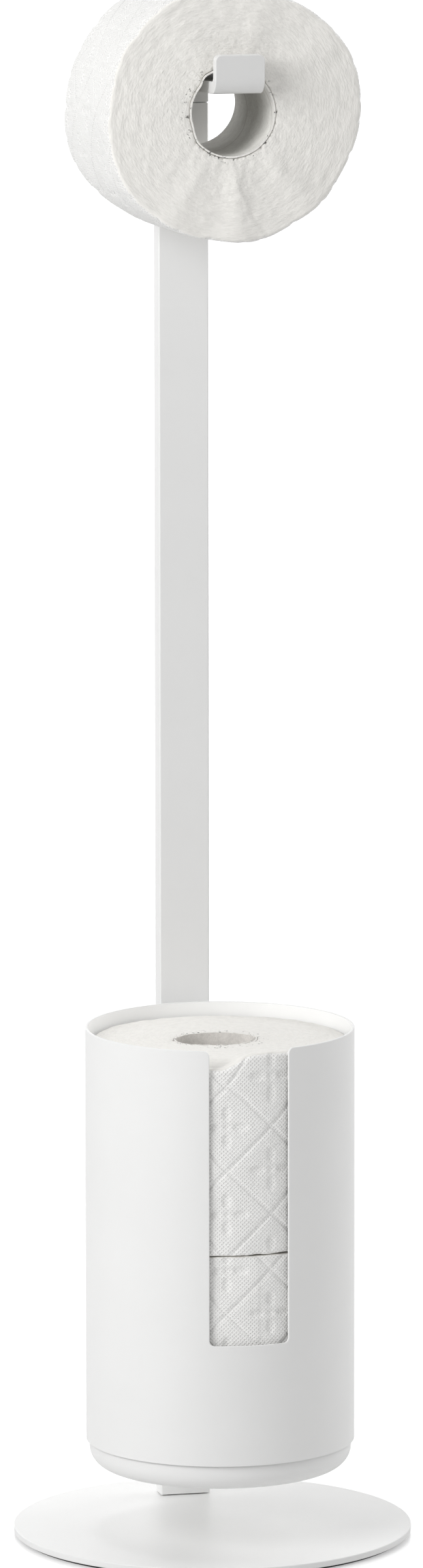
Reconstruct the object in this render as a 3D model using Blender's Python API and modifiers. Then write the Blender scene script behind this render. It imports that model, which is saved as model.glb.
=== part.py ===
"""Freestanding toilet paper holder: a post on a round base carries a hook for one roll
and an open-fronted container for two spare rolls.

Units are metres and +Z is up. The front faces -Y, and the origin is on the floor under the
middle of the round base.
"""

import math

import bmesh
import bpy

ASSEMBLY_NAME = "toilet_paper_holder"
CUTTER_COLLECTION_NAME = "cutters"

# Fits and cuts shared by every piece
SEAT_GAP = 0.0003
CUT_OVERRUN = 0.002
WELD_DISTANCE = 0.00001
SHARP_ANGLE = math.radians(50)
QUARTER_TURN = math.pi / 2
HALF_TURN = math.pi
FULL_TURN = 2 * math.pi

# How finely round forms are cut
PLATE_STEPS = 88
CONTAINER_STEPS = 80
ROLL_STEPS = 64
CORE_STEPS = 48
FASTENER_STEPS = 20
FILLET_POINTS = 3
BEND_POINTS = 8
CORNER_SEGMENTS = 3
EDGE_SEGMENTS = 2
HEXAGON_SIDES = 6

# Base plate and the anti-slip pad under it
PLATE_RADIUS = 0.0957
PLATE_THICKNESS = 0.0031
PLATE_EDGE_RADIUS = 0.0008
PAD_THICKNESS = 0.0010
PAD_INSET = 0.0026
PAD_WINDOW_MARGIN = 0.0055

# Post: a flat steel tube standing near the back of the plate
POST_WIDTH = 0.0236
POST_DEPTH = 0.0109
POST_WALL = 0.0015
POST_LENGTH = 0.6803
POST_CORNER_RADIUS = 0.0012
POST_RIM_MARGIN = 0.0265

# Tapped block inside the foot of the post
FOOT_BLOCK_HEIGHT = 0.024

# Hook head: spigot, bend, arm and upturned lip, one casting as wide as the post.
# The arm rises a little towards the lip, so that the roll doesn't creep off. It takes the
# hanging roll with some play between the roll and the lip. HEAD_RISE is measured at the lip.
SPIGOT_LENGTH = 0.034
HEAD_RISE = 0.0211
ARM_SLOPE = math.radians(3.2)
ARM_THICKNESS = 0.0054
ROLL_STANDOFF = 0.0104
ROLL_PLAY = 0.0060
BEND_INNER_RADIUS = 0.0045
LIP_RISE = 0.0130
LIP_BEND_INNER_RADIUS = 0.0030
LIP_CORNER_RADIUS = 0.0028
HOOK_EDGE_RADIUS = 0.0007

# Container: a rolled shell with a slot at the front, a dished bottom and a floor disc
CONTAINER_RADIUS = 0.0640
CONTAINER_WALL = 0.0016
CONTAINER_STANDOFF = 0.0114
CONTAINER_LIFT = 0.0450
SHELL_HEIGHT = 0.2004
RIM_FILLET = 0.0006
SLOT_WIDTH = 0.0386
SLOT_SILL_HEIGHT = 0.0591
SLOT_SILL_CORNER = 0.0025
SLOT_RIM_CORNER = 0.0018
BOTTOM_DROP = 0.0110
BOTTOM_WALL = 0.0020
BOTTOM_EDGE_RADIUS = 0.0095
FLOOR_RISE = 0.0089
FLOOR_THICKNESS = 0.0020

# Saddle bracket welded to the shell, and what screws it to the post
BRACKET_WIDTH = 0.0180
BRACKET_HEIGHT = 0.1000
BRACKET_CHAMFER = 0.0015
BRACKET_SCREW_SPACING = 0.0700
BRACKET_SCREW_BITE = 0.0080
SLEEVE_WALL = 0.0012

# Screws: one thread size, button heads at the back and countersunk heads below
SCREW_RADIUS = 0.0020
SCREW_HEAD_RADIUS = 0.0038
BUTTON_HEAD_HEIGHT = 0.0022
COUNTERSUNK_HEAD_HEIGHT = 0.0021
SCREW_TIP_CHAMFER = 0.0004
SOCKET_RADIUS = 0.0014
SOCKET_DEPTH = 0.0012
FOOT_SCREW_BITE = 0.0120
FOOT_SCREW_SPACING = 0.0110
HOOK_SCREW_BITE = 0.0050
HOOK_SCREW_DROP = 0.0180
BLIND_HOLE_SPARE = 0.0008

# Paper rolls
CORE_WALL = 0.0008
CORE_INSET = 0.0006
HANGING_ROLL_RADIUS = 0.0599
HANGING_ROLL_WIDTH = 0.0985
HANGING_CORE_RADIUS = 0.0205
HANGING_EDGE_RADIUS = 0.0020
HANGING_SKEW = math.radians(2.3)
SPARE_ROLL_RADIUS = 0.0600
SPARE_ROLL_HEIGHT = 0.0930
SPARE_CORE_RADIUS = 0.0199
SPARE_EDGE_RADIUS = 0.0030

# Places worked out from the sizes above
PLATE_UNDERSIDE = PAD_THICKNESS + SEAT_GAP
PLATE_TOP = PLATE_UNDERSIDE + PLATE_THICKNESS
POST_BACK_Y = PLATE_RADIUS - POST_RIM_MARGIN
POST_FRONT_Y = POST_BACK_Y - POST_DEPTH
POST_MIDDLE_Y = POST_FRONT_Y + POST_DEPTH / 2
POST_FOOT = PLATE_TOP + SEAT_GAP
POST_HEAD = POST_FOOT + POST_LENGTH
CAVITY_WIDTH = POST_WIDTH - 2 * POST_WALL
CAVITY_DEPTH = POST_DEPTH - 2 * POST_WALL
INSERT_WIDTH = CAVITY_WIDTH - 2 * SEAT_GAP
INSERT_DEPTH = CAVITY_DEPTH - 2 * SEAT_GAP
SCREW_HOLE_RADIUS = SCREW_RADIUS + SEAT_GAP
HEAD_FOOT = POST_HEAD + SEAT_GAP
ARM_TOP = HEAD_FOOT + HEAD_RISE
CONTAINER_Y = POST_FRONT_Y - CONTAINER_STANDOFF - CONTAINER_RADIUS
SHELL_FOOT = PLATE_TOP + CONTAINER_LIFT
SHELL_RIM = SHELL_FOOT + SHELL_HEIGHT
SHELL_INNER_RADIUS = CONTAINER_RADIUS - CONTAINER_WALL
LINER_RADIUS = SHELL_INNER_RADIUS - SEAT_GAP
FLOOR_TOP = SHELL_FOOT + FLOOR_RISE
BOTTOM_RIM = FLOOR_TOP - FLOOR_THICKNESS - SEAT_GAP
BOTTOM_UNDERSIDE = SHELL_FOOT - BOTTOM_DROP
BRACKET_MIDDLE = SHELL_FOOT + SHELL_HEIGHT / 2
BEND_Y = POST_FRONT_Y - BEND_INNER_RADIUS
HANGING_BACK_Y = POST_FRONT_Y - ROLL_STANDOFF - SEAT_GAP
HANGING_FRONT_Y = HANGING_BACK_Y - HANGING_ROLL_WIDTH
LIP_OUTER_RADIUS = LIP_BEND_INNER_RADIUS + ARM_THICKNESS
LIP_FRONT_Y = HANGING_FRONT_Y - ROLL_PLAY - ARM_THICKNESS
LIP_BEND_Y = LIP_FRONT_Y + LIP_OUTER_RADIUS
LOWER_ROLL_FOOT = FLOOR_TOP + SEAT_GAP
UPPER_ROLL_FOOT = LOWER_ROLL_FOOT + SPARE_ROLL_HEIGHT + SEAT_GAP



def arm_top(y):
    """Height of the arm's upper face, which falls from the lip to the bend."""
    return ARM_TOP - (y - LIP_BEND_Y) * math.tan(ARM_SLOPE)


# The hanging roll lies along the arm, turned on it by its skew. Its core rests on the arm's two
# upper edges where its ends swing furthest aside.
HANGING_SWING = HANGING_ROLL_WIDTH / 2 * math.sin(HANGING_SKEW)
HANGING_CORE_SEAT = HANGING_CORE_RADIUS - SEAT_GAP
HANGING_DROP = math.sqrt(HANGING_CORE_SEAT ** 2 - (POST_WIDTH / 2 + HANGING_SWING) ** 2)
HANGING_BACK_Z = arm_top(HANGING_BACK_Y) - HANGING_DROP / math.cos(ARM_SLOPE)

# Finishes: colour, roughness and metallic value
FINISHES = {
    "white_powder_coat": ((0.86, 0.86, 0.85, 1), 0.45, 0),
    "white_moulded_plastic": ((0.84, 0.84, 0.83, 1), 0.5, 0),
    "grey_pad": ((0.16, 0.16, 0.155, 1), 0.85, 0),
    "plain_steel": ((0.55, 0.55, 0.56, 1), 0.35, 1),
    "tissue_paper": ((0.83, 0.82, 0.79, 1), 0.95, 0),
    "core_board": ((0.52, 0.49, 0.45, 1), 0.9, 0),
}


def clear_scene():
    for old in list(bpy.data.objects):
        bpy.data.objects.remove(old, do_unlink=True)


def new_collection(name):
    collection = bpy.data.collections.new(name)
    bpy.context.scene.collection.children.link(collection)
    return collection


def finish(name):
    """The material of one finish, made once."""
    material = bpy.data.materials.get(name)
    if material is None:
        colour, roughness, metallic = FINISHES[name]
        material = bpy.data.materials.new(name)
        material.use_nodes = True
        shader = material.node_tree.nodes["Principled BSDF"]
        shader.inputs["Base Color"].default_value = colour
        shader.inputs["Roughness"].default_value = roughness
        shader.inputs["Metallic"].default_value = metallic
        material.diffuse_color = colour
    return material


def add_object(name, mesh, finish_name=None):
    """Link a mesh as a part, or as a hidden cutter when it has no finish."""
    item = bpy.data.objects.new(name, mesh)
    if finish_name is None:
        item.hide_render = True
        item.display_type = "WIRE"
        bpy.data.collections[CUTTER_COLLECTION_NAME].objects.link(item)
    else:
        item.data.materials.append(finish(finish_name))
        bpy.data.collections[ASSEMBLY_NAME].objects.link(item)
    return item


def add_pivot(name, location, rotation=(0, 0, 0)):
    """An empty that carries the pieces of one roll or of the container."""
    pivot = bpy.data.objects.new(name, None)
    pivot.location = location
    pivot.rotation_euler = rotation
    bpy.data.collections[ASSEMBLY_NAME].objects.link(pivot)
    return pivot


def place(item, location=(0, 0, 0), rotation=(0, 0, 0), pivot=None):
    item.location = location
    item.rotation_euler = rotation
    item.parent = pivot
    return item


def smooth(item):
    """Smooth shading that keeps flat faces flat."""
    item.data.shade_smooth()
    item.modifiers.new("face_weighted_shading", "WEIGHTED_NORMAL").keep_sharp = True
    return item


def arc(centre, radii, start, end, points=FILLET_POINTS):
    """Points on an arc about centre, from one angle to another, both ends included."""
    turn = [start + (end - start) * step / points for step in range(points + 1)]
    return [(centre[0] + radii[0] * math.cos(a), centre[1] + radii[1] * math.sin(a)) for a in turn]


def turned(name, profile, steps, finish_name=None, ring=False):
    """A turned body. The profile holds (radius, height) points, down its outer side."""
    mesh = bpy.data.meshes.new(name)
    count = len(profile)
    edges = [(i, i + 1) for i in range(count - 1)]
    if ring:
        edges.append((count - 1, 0))
    mesh.from_pydata([(radius, 0, height) for radius, height in profile], edges, [])
    item = add_object(name, mesh, finish_name)
    screw = item.modifiers.new("turning", "SCREW")
    screw.axis = "Z"
    screw.angle = FULL_TURN
    screw.steps = steps
    screw.render_steps = steps
    screw.use_merge_vertices = True
    screw.merge_threshold = WELD_DISTANCE
    screw.use_smooth_shade = True
    return item


def rounded_box(name, size, corner_radius, finish_name=None):
    """A box standing on its origin, with its upright edges rounded."""
    mesh = bpy.data.meshes.new(name)
    shape = bmesh.new()
    bmesh.ops.create_cube(shape, size=1)
    bmesh.ops.translate(shape, verts=shape.verts, vec=(0, 0, 1 / 2))
    bmesh.ops.scale(shape, verts=shape.verts, vec=size)
    uprights = [e for e in shape.edges if e.verts[0].co.xy == e.verts[1].co.xy]
    bmesh.ops.bevel(shape, geom=uprights, offset=corner_radius, segments=CORNER_SEGMENTS,
                    profile=0.5, affect="EDGES")
    shape.to_mesh(mesh)
    shape.free()
    return add_object(name, mesh, finish_name)


def outline_prism(name, points, thickness, finish_name=None):
    """A flat outline made solid, centred on its plane, as a mesh with plain end faces."""
    curve = bpy.data.curves.new(name, "CURVE")
    curve.dimensions = "2D"
    curve.fill_mode = "BOTH"
    curve.extrude = thickness / 2
    spline = curve.splines.new("POLY")
    spline.points.add(len(points) - 1)
    for point, (across, up) in zip(spline.points, points):
        point.co = (across, up, 0, 1)
    spline.use_cyclic_u = True
    guide = add_object(name + "_outline", curve)
    bpy.context.view_layer.update()
    evaluated = guide.evaluated_get(bpy.context.evaluated_depsgraph_get())
    mesh = bpy.data.meshes.new_from_object(evaluated)
    bpy.data.objects.remove(guide, do_unlink=True)
    shape = bmesh.new()
    shape.from_mesh(mesh)
    bmesh.ops.remove_doubles(shape, verts=shape.verts, dist=WELD_DISTANCE)
    end_faces = [f for f in shape.faces if abs(f.normal.z) > math.cos(SHARP_ANGLE)]
    inner_edges = [e for e in shape.edges if all(f in end_faces for f in e.link_faces)]
    bmesh.ops.dissolve_edges(shape, edges=inner_edges)
    bmesh.ops.recalc_face_normals(shape, faces=shape.faces)
    shape.to_mesh(mesh)
    shape.free()
    mesh.name = name
    return add_object(name, mesh, finish_name)


def boolean(item, other, operation):
    tool = item.modifiers.new(other.name, "BOOLEAN")
    tool.operation = operation
    tool.solver = "EXACT"
    tool.object = other


def cut(item, *cutters):
    for cutter in cutters:
        boolean(item, cutter, "DIFFERENCE")


def drill(name, radius, start, end, rotation=(0, 0, 0), pivot=None, steps=FASTENER_STEPS):
    """A round cutter from start to end along the local axis that the rotation turns."""
    length = math.dist(start, end)
    profile = [(0, length), (radius, length), (radius, 0), (0, 0)]
    return place(turned(name, profile, steps), start, rotation, pivot)


def socket_cutter(name, head_top, location, rotation):
    """The hexagon recess of a screw head."""
    mesh = bpy.data.meshes.new(name)
    shape = bmesh.new()
    depth = SOCKET_DEPTH + CUT_OVERRUN
    bmesh.ops.create_cone(shape, cap_ends=True, segments=HEXAGON_SIDES,
                          radius1=SOCKET_RADIUS, radius2=SOCKET_RADIUS, depth=depth)
    bmesh.ops.translate(shape, verts=shape.verts, vec=(0, 0, head_top - SOCKET_DEPTH + depth / 2))
    shape.to_mesh(mesh)
    shape.free()
    return place(add_object(name, mesh), location, rotation)


def button_screw(name, shank_length, height):
    """A button-head screw that enters the post from behind, its head gap at the origin."""
    location = (0, POST_BACK_Y + SEAT_GAP, height)
    rotation = (-QUARTER_TURN, 0, 0)
    dome = arc((0, 0), (SCREW_HEAD_RADIUS, BUTTON_HEAD_HEIGHT), QUARTER_TURN, 0, BEND_POINTS // 2)
    tip = [(SCREW_RADIUS, SCREW_TIP_CHAMFER - shank_length),
           (SCREW_RADIUS - SCREW_TIP_CHAMFER, -shank_length), (0, -shank_length)]
    profile = [(0, BUTTON_HEAD_HEIGHT)] + dome[1:] + [(SCREW_RADIUS, 0)] + tip
    screw = place(turned(name, profile, FASTENER_STEPS, "plain_steel"), location, rotation)
    cut(screw, socket_cutter(name + "_socket", BUTTON_HEAD_HEIGHT, location, rotation))
    return smooth(screw)


def countersunk_profile(clearance, shank_length):
    """Head at the top, for the screw itself and, with a clearance, for its seat."""
    head = SCREW_HEAD_RADIUS + clearance
    shank = SCREW_RADIUS + clearance
    slope_foot = -COUNTERSUNK_HEAD_HEIGHT
    return [(0, 0), (head, 0), (shank, slope_foot), (shank, -shank_length), (0, -shank_length)]


def make_base():
    edge = PLATE_EDGE_RADIUS
    rim = PLATE_RADIUS - edge
    profile = [(0, PLATE_TOP)]
    profile += arc((rim, PLATE_TOP - edge), (edge, edge), QUARTER_TURN, 0)
    profile += arc((rim, PLATE_UNDERSIDE + edge), (edge, edge), 0, -QUARTER_TURN)
    profile += [(0, PLATE_UNDERSIDE)]
    plate = turned("base_plate", profile, PLATE_STEPS, "white_powder_coat")
    pad_radius = PLATE_RADIUS - PAD_INSET
    pad_profile = [(0, PAD_THICKNESS), (pad_radius, PAD_THICKNESS), (pad_radius, 0), (0, 0)]
    pad = turned("base_pad", pad_profile, PLATE_STEPS, "grey_pad")
    window_size = (FOOT_SCREW_SPACING + 2 * PAD_WINDOW_MARGIN, 2 * PAD_WINDOW_MARGIN,
                   PAD_THICKNESS + 2 * CUT_OVERRUN)
    window = rounded_box("pad_window", window_size, PAD_WINDOW_MARGIN / 2)
    cut(pad, place(window, (0, POST_MIDDLE_Y, -CUT_OVERRUN)))
    smooth(pad)
    make_foot_screws(plate)
    smooth(plate)


def make_foot_screws(plate):
    """Two countersunk screws that rise through the plate into the block in the post."""
    block_foot = POST_FOOT + SEAT_GAP
    block_size = (INSERT_WIDTH, INSERT_DEPTH, FOOT_BLOCK_HEIGHT)
    block = rounded_box("foot_block", block_size, max(POST_CORNER_RADIUS - POST_WALL, SEAT_GAP),
                        "plain_steel")
    place(block, (0, POST_MIDDLE_Y, block_foot))
    head_face = PLATE_UNDERSIDE + SEAT_GAP
    shank_length = block_foot + FOOT_SCREW_BITE - head_face
    for side, sign in (("left", -1), ("right", 1)):
        name = "foot_screw_" + side
        location = (sign * FOOT_SCREW_SPACING / 2, POST_MIDDLE_Y, head_face)
        rotation = (HALF_TURN, 0, 0)
        profile = countersunk_profile(0, shank_length)
        screw = place(turned(name, profile, FASTENER_STEPS, "plain_steel"), location, rotation)
        cut(screw, socket_cutter(name + "_socket", 0, location, rotation))
        smooth(screw)
        seat_head = SCREW_HEAD_RADIUS + SEAT_GAP
        reach = shank_length + BLIND_HOLE_SPARE
        seat_profile = [(0, CUT_OVERRUN), (seat_head, CUT_OVERRUN)]
        seat_profile += countersunk_profile(SEAT_GAP, reach)[1:]
        seat = place(turned(name + "_seat", seat_profile, FASTENER_STEPS), location, rotation)
        cut(plate, seat)
        cut(block, seat)


def make_post():
    post_size = (POST_WIDTH, POST_DEPTH, POST_LENGTH)
    post = rounded_box("post", post_size, POST_CORNER_RADIUS, "white_powder_coat")
    place(post, (0, POST_MIDDLE_Y, POST_FOOT))
    cavity_size = (CAVITY_WIDTH, CAVITY_DEPTH, POST_LENGTH + 2 * CUT_OVERRUN)
    cavity = rounded_box("post_cavity", cavity_size, max(POST_CORNER_RADIUS - POST_WALL, SEAT_GAP))
    cut(post, place(cavity, (0, POST_MIDDLE_Y, POST_FOOT - CUT_OVERRUN)))
    return post


def hook_outline():
    """The hook seen from the side, as (y, z) points, from the seam round to the back."""
    outer_y = POST_BACK_Y - BEND_Y
    outer_z = (ARM_THICKNESS + BEND_INNER_RADIUS) / math.cos(ARM_SLOPE)
    bend = (BEND_Y, arm_top(BEND_Y) - outer_z)
    outer_radii = (outer_y, math.sqrt(outer_z ** 2 - (outer_y * math.tan(ARM_SLOPE)) ** 2))
    outer_end = math.atan2(outer_radii[1], outer_y * math.tan(ARM_SLOPE))
    inner_radii = (BEND_INNER_RADIUS, BEND_INNER_RADIUS)
    inner_lip = (LIP_BEND_INNER_RADIUS, LIP_BEND_INNER_RADIUS)
    outer_lip = (LIP_OUTER_RADIUS, LIP_OUTER_RADIUS)
    lip_centre = (LIP_BEND_Y, ARM_TOP + LIP_BEND_INNER_RADIUS / math.cos(ARM_SLOPE))
    lip_start = 3 * QUARTER_TURN - ARM_SLOPE
    lip_top = ARM_TOP + LIP_RISE
    points = [(POST_FRONT_Y, HEAD_FOOT)]
    points += arc(bend, inner_radii, 0, QUARTER_TURN - ARM_SLOPE, BEND_POINTS)
    points += arc(lip_centre, outer_lip, lip_start, HALF_TURN, BEND_POINTS)
    points += [(LIP_FRONT_Y, lip_top), (LIP_FRONT_Y + ARM_THICKNESS, lip_top)]
    points += arc(lip_centre, inner_lip, HALF_TURN, lip_start, BEND_POINTS)
    points += arc(bend, outer_radii, outer_end, 0, BEND_POINTS)
    points += [(POST_BACK_Y, HEAD_FOOT)]
    return points


def make_hook():
    """The prism is turned so that its outline stands in the plane through the post."""
    hook = outline_prism("hook", hook_outline(), POST_WIDTH, "white_powder_coat")
    place(hook, rotation=(QUARTER_TURN, 0, QUARTER_TURN))
    shape = bmesh.new()
    shape.from_mesh(hook.data)
    lip_top = max(v.co.y for v in shape.verts)
    lip_corners = [e for e in shape.edges
                   if all(abs(v.co.y - lip_top) < WELD_DISTANCE for v in e.verts)
                   and abs(e.verts[0].co.z - e.verts[1].co.z) < WELD_DISTANCE]
    bmesh.ops.bevel(shape, geom=lip_corners, offset=LIP_CORNER_RADIUS, segments=CORNER_SEGMENTS + 1,
                    profile=0.5, affect="EDGES")
    sharp = [e for e in shape.edges if e.calc_face_angle(0) > SHARP_ANGLE]
    bmesh.ops.bevel(shape, geom=sharp, offset=HOOK_EDGE_RADIUS, segments=EDGE_SEGMENTS,
                    profile=0.5, affect="EDGES")
    shape.to_mesh(hook.data)
    shape.free()
    spigot_size = (INSERT_WIDTH, INSERT_DEPTH, SPIGOT_LENGTH + HEAD_RISE / 4)
    spigot = rounded_box("hook_spigot", spigot_size, max(POST_CORNER_RADIUS - POST_WALL, SEAT_GAP))
    boolean(hook, place(spigot, (0, POST_MIDDLE_Y, HEAD_FOOT - SPIGOT_LENGTH)), "UNION")
    return hook


def make_hook_screw(post, hook):
    height = POST_HEAD - HOOK_SCREW_DROP
    entry = POST_BACK_Y + SEAT_GAP
    bite_end = POST_BACK_Y - POST_WALL - SEAT_GAP - HOOK_SCREW_BITE
    button_screw("hook_screw", entry - bite_end, height)
    start = (0, bite_end - BLIND_HOLE_SPARE, height)
    end = (0, POST_BACK_Y + CUT_OVERRUN, height)
    hole = drill("hook_screw_hole", SCREW_HOLE_RADIUS, start, end, (-QUARTER_TURN, 0, 0))
    cut(post, hole)
    cut(hook, hole)


def slot_outline():
    """The slot seen from the front, as (x, z) points, flared where it meets the rim."""
    half = SLOT_WIDTH / 2
    sill = SHELL_FOOT + SLOT_SILL_HEIGHT
    over = SHELL_RIM + CUT_OVERRUN
    low, flare = SLOT_SILL_CORNER, SLOT_RIM_CORNER
    right = arc((half - low, sill + low), (low, low), -QUARTER_TURN, 0)
    right += arc((half + flare, SHELL_RIM - flare), (flare, flare), HALF_TURN, QUARTER_TURN)
    right += [(half + flare, over)]
    left = [(-across, up) for across, up in reversed(right)]
    return right + left


def make_container(pivot):
    inner, outer, fillet = SHELL_INNER_RADIUS, CONTAINER_RADIUS, RIM_FILLET
    profile = arc((outer - fillet, SHELL_RIM - fillet), (fillet, fillet), QUARTER_TURN, 0)
    profile += [(outer, SHELL_FOOT), (inner, SHELL_FOOT)]
    profile += arc((inner + fillet, SHELL_RIM - fillet), (fillet, fillet), HALF_TURN, QUARTER_TURN)
    shell = turned("container_shell", profile, CONTAINER_STEPS, "white_powder_coat", ring=True)
    place(shell, pivot=pivot)
    slot = outline_prism("front_slot", slot_outline(), CONTAINER_RADIUS)
    cut(shell, place(slot, (0, -CONTAINER_RADIUS, 0), (QUARTER_TURN, 0, 0), pivot))
    smooth(shell)

    edge, wall = BOTTOM_EDGE_RADIUS, BOTTOM_WALL
    inner_edge = edge - wall
    bend = (LINER_RADIUS - edge, BOTTOM_UNDERSIDE + edge)
    dish = [(0, BOTTOM_UNDERSIDE + wall)]
    dish += arc(bend, (inner_edge, inner_edge), -QUARTER_TURN, 0)
    dish += [(LINER_RADIUS - wall, BOTTOM_RIM), (LINER_RADIUS, BOTTOM_RIM)]
    dish += arc(bend, (edge, edge), 0, -QUARTER_TURN, BEND_POINTS // 2)
    dish += [(0, BOTTOM_UNDERSIDE)]
    bottom = turned("container_bottom", dish, CONTAINER_STEPS, "white_powder_coat")
    smooth(place(bottom, pivot=pivot))

    disc = [(0, FLOOR_TOP), (LINER_RADIUS, FLOOR_TOP), (LINER_RADIUS, FLOOR_TOP - FLOOR_THICKNESS),
            (0, FLOOR_TOP - FLOOR_THICKNESS)]
    floor = turned("container_floor", disc, CONTAINER_STEPS, "white_moulded_plastic")
    smooth(place(floor, pivot=pivot))


def make_bracket(post, pivot):
    """A saddle block, hollowed to the shell and flat against the post, with its fixings."""
    reach = CONTAINER_STANDOFF + CONTAINER_WALL - SEAT_GAP
    bracket_size = (BRACKET_WIDTH, reach, BRACKET_HEIGHT)
    bracket = rounded_box("container_bracket", bracket_size, BRACKET_CHAMFER, "white_powder_coat")
    back = POST_FRONT_Y - SEAT_GAP
    place(bracket, (0, back - reach / 2, BRACKET_MIDDLE - BRACKET_HEIGHT / 2))
    hollow = drill("bracket_saddle", CONTAINER_RADIUS + SEAT_GAP, (0, 0, SHELL_FOOT),
                   (0, 0, SHELL_RIM), pivot=pivot, steps=CONTAINER_STEPS)
    cut(bracket, hollow)
    entry = POST_BACK_Y + SEAT_GAP
    bite_end = back - BRACKET_SCREW_BITE
    for level, sign in (("upper", 1), ("lower", -1)):
        height = BRACKET_MIDDLE + sign * BRACKET_SCREW_SPACING / 2
        button_screw("container_screw_" + level, entry - bite_end, height)
        start = (0, bite_end - BLIND_HOLE_SPARE, height)
        end = (0, POST_BACK_Y + CUT_OVERRUN, height)
        turn = (-QUARTER_TURN, 0, 0)
        hole = drill("container_hole_" + level, SCREW_HOLE_RADIUS, start, end, turn)
        cut(bracket, hole)
        cut(post, hole)
        outer = SCREW_HOLE_RADIUS + SLEEVE_WALL
        ends = (INSERT_DEPTH / 2, -INSERT_DEPTH / 2)
        ring = [(outer, ends[0]), (outer, ends[1]), (SCREW_HOLE_RADIUS, ends[1]),
                (SCREW_HOLE_RADIUS, ends[0])]
        sleeve = turned("post_sleeve_" + level, ring, FASTENER_STEPS, "plain_steel", ring=True)
        smooth(place(sleeve, (0, POST_MIDDLE_Y, height), turn))


def make_roll(name, pivot, radius, length, core_radius, edge):
    """A wound roll standing on the pivot, and the board core inside it."""
    core_outer = core_radius + CORE_WALL
    bore = core_outer + SEAT_GAP
    profile = arc((radius - edge, length - edge), (edge, edge), QUARTER_TURN, 0)
    profile += arc((radius - edge, edge), (edge, edge), 0, -QUARTER_TURN)
    profile += [(bore, 0), (bore, length)]
    paper = turned(name + "_paper", profile, ROLL_STEPS, "tissue_paper", ring=True)
    smooth(place(paper, pivot=pivot))
    ends = (length - CORE_INSET, CORE_INSET)
    ring = [(core_outer, ends[0]), (core_outer, ends[1]), (core_radius, ends[1]),
            (core_radius, ends[0])]
    core = turned(name + "_core", ring, CORE_STEPS, "core_board", ring=True)
    smooth(place(core, pivot=pivot))


def make_rolls():
    hanging = add_pivot("hanging_roll_axis", (HANGING_SWING, HANGING_BACK_Y, HANGING_BACK_Z),
                        (QUARTER_TURN - ARM_SLOPE, 0, -HANGING_SKEW))
    make_roll("hanging_roll", hanging, HANGING_ROLL_RADIUS, HANGING_ROLL_WIDTH,
              HANGING_CORE_RADIUS, HANGING_EDGE_RADIUS)
    for level, foot in (("lower", LOWER_ROLL_FOOT), ("upper", UPPER_ROLL_FOOT)):
        stack = add_pivot("spare_roll_" + level + "_axis", (0, CONTAINER_Y, foot))
        make_roll("spare_roll_" + level, stack, SPARE_ROLL_RADIUS, SPARE_ROLL_HEIGHT,
                  SPARE_CORE_RADIUS, SPARE_EDGE_RADIUS)


def main():
    clear_scene()
    new_collection(ASSEMBLY_NAME)
    new_collection(CUTTER_COLLECTION_NAME)
    make_base()
    post = make_post()
    hook = make_hook()
    make_hook_screw(post, hook)
    container_axis = add_pivot("container_axis", (0, CONTAINER_Y, 0))
    make_container(container_axis)
    make_bracket(post, container_axis)
    make_rolls()
    smooth(post)
    smooth(hook)


if __name__ == "__main__":
    main()
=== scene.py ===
"""Dresses a freestanding toilet paper holder: powder-coated steel, board cores and embossed paper.

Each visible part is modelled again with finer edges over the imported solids, in the same frame:
metres, +Z up, the front facing -Y and the origin on the floor under the middle of the base.
"""

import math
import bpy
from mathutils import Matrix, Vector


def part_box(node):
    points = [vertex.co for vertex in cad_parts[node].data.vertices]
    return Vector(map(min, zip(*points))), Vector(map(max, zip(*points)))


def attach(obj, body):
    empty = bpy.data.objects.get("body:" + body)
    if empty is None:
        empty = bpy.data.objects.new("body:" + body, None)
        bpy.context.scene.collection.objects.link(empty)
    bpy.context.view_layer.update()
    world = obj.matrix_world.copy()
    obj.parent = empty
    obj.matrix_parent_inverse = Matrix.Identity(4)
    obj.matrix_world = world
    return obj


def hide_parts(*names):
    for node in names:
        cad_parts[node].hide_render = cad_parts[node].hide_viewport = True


bl_info = {
    "name": "Toilet Paper Holder",
    "version": (1, 0, 0),
    "blender": (4, 5, 0),
    "location": "3D Viewport > Sidebar > Holder",
    "description": "Builds the finished look of a freestanding toilet paper holder",
    "category": "Add Mesh",
}

import bmesh
import bpy
from mathutils import Matrix, Vector, noise

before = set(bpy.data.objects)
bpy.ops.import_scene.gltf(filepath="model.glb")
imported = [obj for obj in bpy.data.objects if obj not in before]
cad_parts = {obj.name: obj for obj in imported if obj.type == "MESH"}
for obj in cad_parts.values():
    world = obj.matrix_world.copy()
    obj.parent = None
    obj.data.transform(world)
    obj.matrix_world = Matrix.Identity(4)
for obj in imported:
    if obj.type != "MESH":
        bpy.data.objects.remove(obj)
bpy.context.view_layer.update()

QUARTER_TURN = math.pi / 2
HALF_TURN = math.pi
FULL_TURN = 2 * math.pi
# Points closer together than this are one point
WELD = 0.000002
# How far a cutter reaches past the surface that it cuts
OVER = 0.002
# The cone under a countersunk head, and the chamfer at a screw's tip
COUNTERSINK = 0.0021
SCREW_TIP = 0.0004
# Steps round the turned pieces
WIDE_STEPS = 256
SCREW_STEPS = 48

BACK_SCREWS = ("hook_screw", "container_screw_upper", "container_screw_lower")
FOOT_SCREWS = ("foot_screw_left", "foot_screw_right")


def node_box(name):
    """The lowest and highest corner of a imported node."""
    low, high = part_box(name)
    return Vector(low), Vector(high)


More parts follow.
